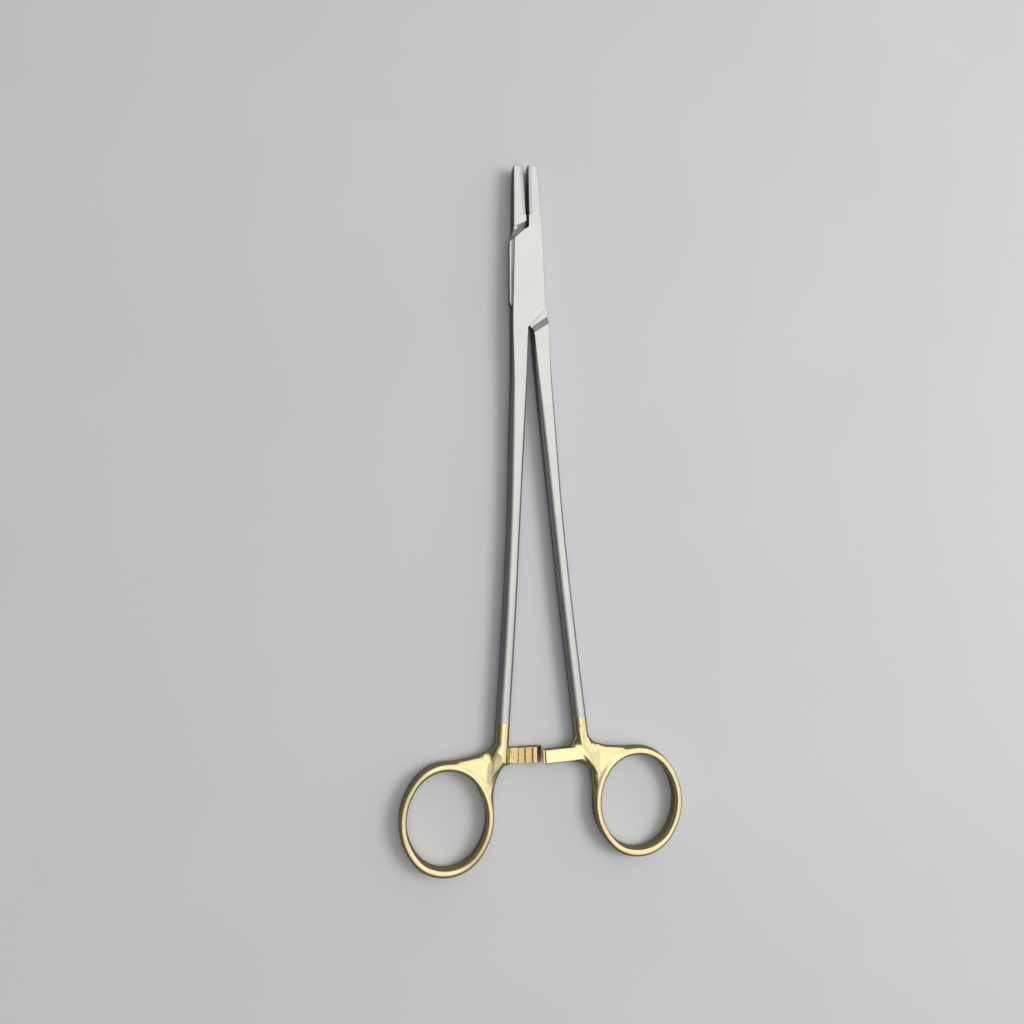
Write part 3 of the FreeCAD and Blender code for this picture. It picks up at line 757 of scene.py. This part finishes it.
# %% Handles and arms
def handle_piece(half):
    """Finger ring, web, shoulder and the arm's root in one skin, cut off where the gold starts."""
    side = HALVES[half]["side"]
    left, bottom = RING_CENTRE - (RING_HALF_WIDTH + 2, RING_HALF_LENGTH + 2)
    low = (left, bottom, -HANDLE_HALF - 0.5)
    high = (-4.5, -GOLD_START, HANDLE_HALF + 0.5)
    points, quads, normals = skin(lambda x, y, z: handle_field(x, y, z, side), low, high)
    return build(half + "_finger_ring", points, quads, side, normals)


# The box arm takes the gold with painted brown shade, the tongue arm the plain polished gold.
ARM_FINISH = {"box": gold_with_painted_shade, "tongue": polished_gold}
for half in HALVES:
    finish_piece(arm_piece(half), half, ARM_FINISH[half])
    finish_piece(handle_piece(half), half, polished_gold)

# %% [markdown]
# ## The solids that stay
# The pin and the two carbide inserts are small and crisp, so their solids are shown as they are.
# They need only a finish.

# %% Finishes of pin and inserts
STAYING = {"pivot_pin": satin_steel,
           "box_insert": sintered_carbide,
           "tongue_insert": sintered_carbide}
for node, material in STAYING.items():
    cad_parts[node].data.materials.clear()
    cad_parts[node].data.materials.append(material)

# %% [markdown]
# ## Floor
# The instrument lies on a plain, pale floor that takes its soft shadow.  The metal mirrors the
# floor too, and a pale one would wash out the dark flanks that make steel look like steel.  So for
# glossy rays, which Light Path tells apart, the floor is darker.

# %% Floor
floor_finish = Finish("pale_floor")
mottle = floor_finish.noise(60.0, 2.0)
pale = floor_finish.blend(mottle, tone(214, 217, 222), tone(221, 223, 227))
mirrored = floor_finish.add("ShaderNodeLightPath", output=3)
pale_floor = floor_finish.surface(
    Base_Color=floor_finish.blend(mirrored, pale, tone(112, 114, 120)),
    Roughness=0.8)
FLOOR_HALF = 2.0
floor_corners = [(-FLOOR_HALF, -FLOOR_HALF, 0), (FLOOR_HALF, -FLOOR_HALF, 0),
                 (FLOOR_HALF, FLOOR_HALF, 0), (-FLOOR_HALF, FLOOR_HALF, 0)]
floor_mesh = bpy.data.meshes.new("floor")
floor_mesh.from_pydata(floor_corners, [], [(0, 1, 2, 3)])
floor = bpy.data.objects.new("floor", floor_mesh)
floor_mesh.materials.append(pale_floor)
bpy.context.collection.objects.link(floor)

print("floor, m:", 2 * FLOOR_HALF, "square")

# %% [markdown]
# ## Camera
# The camera is a phone's, held over the middle of the shanks, a little to the left.  FOCAL is its
# focal length in pixels, and TILT the sideways slope of the table as the camera sees it.  HEIGHT is
# its distance in millimetres from the top of the lock, measured square to the table.  The pin must
# appear at PIVOT_PIXEL, and the drawing's long axis is turned by ROW_TURN in the picture.

# %% Camera
IMAGE = 1024
SENSOR = 36.0
FOCAL = 769.0
TILT = 0.1758
HEIGHT = 219.2
PIVOT_PIXEL = (529.5, 275.5)
ROW_TURN = math.radians(1.79)

away = np.array([-TILT, 0.0, 1.0])
away /= np.linalg.norm(away)
right = np.array([1.0, 0.0, TILT])
right /= np.linalg.norm(right)
down = np.cross(away, right)
ray = np.append((np.array(PIVOT_PIXEL) - IMAGE / 2) / FOCAL, 1.0)
pivot = ray * HEIGHT / (ray @ away)
row_x = math.cos(ROW_TURN) * right - math.sin(ROW_TURN) * down
row_y = -math.sin(ROW_TURN) * right - math.cos(ROW_TURN) * down
rows = np.stack([row_x, row_y, -away])
place = rows @ -pivot + np.array([0, 0, 2 * HALF_HEIGHT])
camera_axes = np.stack([rows[:, 0], -rows[:, 1], -rows[:, 2]], axis=1)
camera_data = bpy.data.cameras.new("camera")
camera_data.sensor_width = SENSOR
camera_data.lens = FOCAL / IMAGE * camera_data.sensor_width
camera_data.clip_start = 0.01
camera = bpy.data.objects.new("camera", camera_data)
bpy.context.collection.objects.link(camera)
stand = Matrix.Translation(Vector(place * MM))
camera.matrix_world = stand @ Matrix(camera_axes.tolist()).to_4x4()
bpy.context.scene.camera = camera
print("camera at, mm:", place.round(1))

# %% [markdown]
# ## Lamps
# Two soft lamps light the floor and draw the shadows: a warm key on the right and a weak, cool fill
# on the left.  The metal doesn't mirror them, because in satin steel a mirrored lamp burns out to a
# white patch.  What the metal mirrors is the world below.

# %% Lamps
AIM = Vector((0, -0.07, 0))


def lamp(name, place, size, power, colour):
    """A soft square lamp that looks at the middle of the instrument."""
    data = bpy.data.lights.new(name, "AREA")
    data.shape = "SQUARE"
    data.size = size
    data.energy = power
    data.color = colour
    light = bpy.data.objects.new(name, data)
    bpy.context.collection.objects.link(light)
    turn = (AIM - Vector(place)).to_track_quat("-Z", "Y").to_matrix().to_4x4()
    light.matrix_world = Matrix.Translation(Vector(place)) @ turn
    light.visible_glossy = False
    return light


lamp("key", (0.46, -0.02, 0.54), 0.3, 1.9, (1.0, 0.98, 0.95))
lamp("fill", (-0.55, -0.35, 0.75), 0.8, 0.4, (0.93, 0.96, 1.0))
print("lamps:", [light.name for light in bpy.data.lights])

# %% [markdown]
# ## The room that the metal mirrors
# A picture of a room could be wrapped round the scene, but a few numbers do: the room is bright
# towards the upper right and falls off, by the cosine of the angle from there, to a dark left
# side.  A coarse noise stands for the things in it and breaks up the reflections on the gold.
# Glossy rays see the room at full strength, and it lights the floor a little less.  The camera
# itself sees a plain pale backdrop.

# %% World
BRIGHT_SIDE = Vector((0.575, 0.393, 0.718))
FALL_OFF = [(0.0, 0.1), (0.36, 0.3), (0.55, 0.75), (0.66, 1.2), (0.9, 1.15), (1.0, 1.4)]

world = bpy.data.worlds.new("studio")
bpy.context.scene.world = world
studio = Nodes(world)
direction = studio.add("ShaderNodeTexCoord")
nearness = studio.add("ShaderNodeVectorMath", {"operation": "DOT_PRODUCT"},
                      {0: direction, 1: BRIGHT_SIDE}, output=1)
WARMTH = (1.0, 0.99, 0.965)
stops = [(cosine, (*(level * share for share in WARMTH), 1)) for cosine, level in FALL_OFF]
glow = studio.add("ShaderNodeValToRGB", {"stops": stops}, {0: nearness})
clutter = studio.add("ShaderNodeTexNoise",
                     inputs={"Vector": direction, "Scale": 3.5, "Detail": 1.0})
mirrored = studio.add("ShaderNodeLightPath", output=3)
strength = (clutter * 1.3 + 0.35) * (mirrored * 0.3 + 0.7)
room = studio.add("ShaderNodeBackground", inputs={"Color": glow, "Strength": strength})
plain = studio.add("ShaderNodeBackground", inputs={"Color": tone(214, 217, 222)})
seen = studio.add("ShaderNodeLightPath", output=0)
sky = studio.add("ShaderNodeMixShader", inputs={0: seen, 1: room, 2: plain})
studio.add("ShaderNodeOutputWorld", inputs={"Surface": sky})
bpy.context.scene.view_settings.view_transform = "Standard"
print("world has", len(studio.tree.nodes), "nodes")
